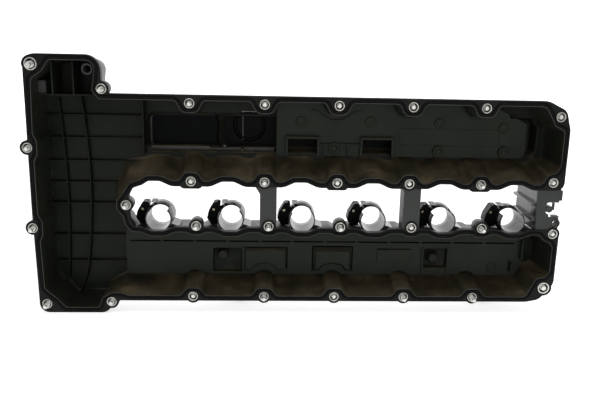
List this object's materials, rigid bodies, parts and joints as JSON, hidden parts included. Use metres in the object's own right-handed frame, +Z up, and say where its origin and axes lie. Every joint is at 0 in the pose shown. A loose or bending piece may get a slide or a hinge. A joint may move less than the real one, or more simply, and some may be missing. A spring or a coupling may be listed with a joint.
{
  "type": "cylinder head cover",
  "caption": "Long moulded cylinder head cover with open cam and chain bays, sealing rail, captive bolts, coil wells, baffles and a screw filler cap.",
  "frame": {"origin": "middle of the footprint at the lowest edge, as the cover stands on its long lower edge", "axes": "+X along the cover from the chain end, +Y away from the sealing face, +Z up with the sealing face towards -Y"},
  "size_m": [0.6798, 0.114, 0.3249],
  "materials": {
    "shell": "moulded, satin, oil-stained",
    "baffle": "moulded, satin",
    "rubber": "moulded rubber",
    "bolt": "zinc plated",
    "cap": "satin",
    "trim": "satin",
    "clip": "satin",
    "brass": "plain"
  },
  "bodies": {
    "cover": {"cover_shell": "shell", "sealing_gasket": "rubber", "separator_baffle_upper": "baffle", "separator_baffle_lower": "baffle", "vent_valve_lid": "trim", "breather_outlet": "trim", "cable_duct": "trim", "cable_duct_lid": "trim", "harness_clip": "clip", "coil_screw_insert_1": "brass", "coil_screw_insert_2": "brass", "coil_screw_insert_3": "brass", "coil_screw_insert_4": "brass", "coil_screw_insert_5": "brass", "coil_screw_insert_6": "brass"},
    "filler_lift": {"filler_cap_seal": "rubber"},
    "filler_cap": {"oil_filler_cap": "cap", "filler_cap_plug": "cap"},
    "bolt_01_body": {"bolt_01": "bolt"},
    "bolt_02_body": {"bolt_02": "bolt"},
    "bolt_03_body": {"bolt_03": "bolt"},
    "bolt_04_body": {"bolt_04": "bolt"},
    "bolt_05_body": {"bolt_05": "bolt"},
    "bolt_06_body": {"bolt_06": "bolt"},
    "bolt_07_body": {"bolt_07": "bolt"},
    "bolt_08_body": {"bolt_08": "bolt"},
    "bolt_09_body": {"bolt_09": "bolt"},
    "bolt_10_body": {"bolt_10": "bolt"},
    "bolt_11_body": {"bolt_11": "bolt"},
    "bolt_12_body": {"bolt_12": "bolt"},
    "bolt_13_body": {"bolt_13": "bolt"},
    "bolt_14_body": {"bolt_14": "bolt"},
    "bolt_15_body": {"bolt_15": "bolt"},
    "bolt_16_body": {"bolt_16": "bolt"},
    "bolt_17_body": {"bolt_17": "bolt"},
    "bolt_18_body": {"bolt_18": "bolt"},
    "bolt_19_body": {"bolt_19": "bolt"},
    "bolt_20_body": {"bolt_20": "bolt"},
    "bolt_21_body": {"bolt_21": "bolt"},
    "bolt_22_body": {"bolt_22": "bolt"},
    "bolt_23_body": {"bolt_23": "bolt"},
    "bolt_24_body": {"bolt_24": "bolt"},
    "bolt_25_body": {"bolt_25": "bolt"},
    "bolt_26_body": {"bolt_26": "bolt"},
    "bolt_27_body": {"bolt_27": "bolt"},
    "bolt_28_body": {"bolt_28": "bolt"},
    "bolt_29_body": {"bolt_29": "bolt"},
    "bolt_30_body": {"bolt_30": "bolt"},
    "bolt_31_body": {"bolt_31": "bolt"}
  },
  "joints": [
    {"name": "bolt_01_slide", "type": "slide", "parent": "cover", "child": "bolt_01_body", "axis": [0, 1, 0], "range_m": [0, 0.01]},
    {"name": "bolt_02_slide", "type": "slide", "parent": "cover", "child": "bolt_02_body", "axis": [0, 1, 0], "range_m": [0, 0.01]},
    {"name": "bolt_03_slide", "type": "slide", "parent": "cover", "child": "bolt_03_body", "axis": [0, 1, 0], "range_m": [-0.006, 0.004]},
    {"name": "bolt_04_slide", "type": "slide", "parent": "cover", "child": "bolt_04_body", "axis": [0, 1, 0], "range_m": [-0.008, 0.002]},
    {"name": "bolt_05_slide", "type": "slide", "parent": "cover", "child": "bolt_05_body", "axis": [0, 1, 0], "range_m": [-0.0095, 0.0005]},
    {"name": "bolt_06_slide", "type": "slide", "parent": "cover", "child": "bolt_06_body", "axis": [0, 1, 0], "range_m": [-0.0095, 0.0005]},
    {"name": "bolt_07_slide", "type": "slide", "parent": "cover", "child": "bolt_07_body", "axis": [0, 1, 0], "range_m": [-0.0095, 0.0005]},
    {"name": "bolt_08_slide", "type": "slide", "parent": "cover", "child": "bolt_08_body", "axis": [0, 1, 0], "range_m": [-0.009, 0.001]},
    {"name": "bolt_09_slide", "type": "slide", "parent": "cover", "child": "bolt_09_body", "axis": [0, 1, 0], "range_m": [-0.005, 0.005]},
    {"name": "bolt_10_slide", "type": "slide", "parent": "cover", "child": "bolt_10_body", "axis": [0, 1, 0], "range_m": [0, 0.01]},
    {"name": "bolt_11_slide", "type": "slide", "parent": "cover", "child": "bolt_11_body", "axis": [0, 1, 0], "range_m": [0, 0.01]},
    {"name": "bolt_12_slide", "type": "slide", "parent": "cover", "child": "bolt_12_body", "axis": [0, 1, 0], "range_m": [-0.005, 0.005]},
    {"name": "bolt_13_slide", "type": "slide", "parent": "cover", "child": "bolt_13_body", "axis": [0, 1, 0], "range_m": [-0.0095, 0.0005]},
    {"name": "bolt_14_slide", "type": "slide", "parent": "cover", "child": "bolt_14_body", "axis": [0, 1, 0], "range_m": [-0.001, 0.009]},
    {"name": "bolt_15_slide", "type": "slide", "parent": "cover", "child": "bolt_15_body", "axis": [0, 1, 0], "range_m": [-0.0095, 0.0005]},
    {"name": "bolt_16_slide", "type": "slide", "parent": "cover", "child": "bolt_16_body", "axis": [0, 1, 0], "range_m": [-0.001, 0.009]},
    {"name": "bolt_17_slide", "type": "slide", "parent": "cover", "child": "bolt_17_body", "axis": [0, 1, 0], "range_m": [0, 0.01]},
    {"name": "bolt_18_slide", "type": "slide", "parent": "cover", "child": "bolt_18_body", "axis": [0, 1, 0], "range_m": [-0.009, 0.001]},
    {"name": "bolt_19_slide", "type": "slide", "parent": "cover", "child": "bolt_19_body", "axis": [0, 1, 0], "range_m": [-0.008, 0.002]},
    {"name": "bolt_20_slide", "type": "slide", "parent": "cover", "child": "bolt_20_body", "axis": [0, 1, 0], "range_m": [-0.005, 0.005]},
    {"name": "bolt_21_slide", "type": "slide", "parent": "cover", "child": "bolt_21_body", "axis": [0, 1, 0], "range_m": [-0.009, 0.001]},
    {"name": "bolt_22_slide", "type": "slide", "parent": "cover", "child": "bolt_22_body", "axis": [0, 1, 0], "range_m": [-0.0095, 0.0005]},
    {"name": "bolt_23_slide", "type": "slide", "parent": "cover", "child": "bolt_23_body", "axis": [0, 1, 0], "range_m": [0, 0.01]},
    {"name": "bolt_24_slide", "type": "slide", "parent": "cover", "child": "bolt_24_body", "axis": [0, 1, 0], "range_m": [-0.009, 0.001]},
    {"name": "bolt_25_slide", "type": "slide", "parent": "cover", "child": "bolt_25_body", "axis": [0, 1, 0], "range_m": [0, 0.01]},
    {"name": "bolt_26_slide", "type": "slide", "parent": "cover", "child": "bolt_26_body", "axis": [0, 1, 0], "range_m": [-0.001, 0.009]},
    {"name": "bolt_27_slide", "type": "slide", "parent": "cover", "child": "bolt_27_body", "axis": [0, 1, 0], "range_m": [-0.001, 0.009]},
    {"name": "bolt_28_slide", "type": "slide", "parent": "cover", "child": "bolt_28_body", "axis": [0, 1, 0], "range_m": [-0.001, 0.009]},
    {"name": "bolt_29_slide", "type": "slide", "parent": "cover", "child": "bolt_29_body", "axis": [0, 1, 0], "range_m": [-0.009, 0.001]},
    {"name": "bolt_30_slide", "type": "slide", "parent": "cover", "child": "bolt_30_body", "axis": [0, 1, 0], "range_m": [0, 0.01]},
    {"name": "bolt_31_slide", "type": "slide", "parent": "cover", "child": "bolt_31_body", "axis": [0, 1, 0], "range_m": [-0.009, 0.001]},
    {"name": "filler_lift", "type": "slide", "parent": "cover", "child": "filler_lift", "axis": [0, 1, 0], "range_m": [0, 0.01]},
    {"name": "filler_turn", "type": "hinge", "parent": "filler_lift", "child": "filler_cap", "pos_m": [-0.06362, 0.043, 0.2352], "axis": [0, 1, 0], "range_deg": [0, 450]}
  ],
  "couplings": [
    {"joint": "filler_lift", "follows": "filler_turn", "m_per_rad": 0.0012732}
  ]
}
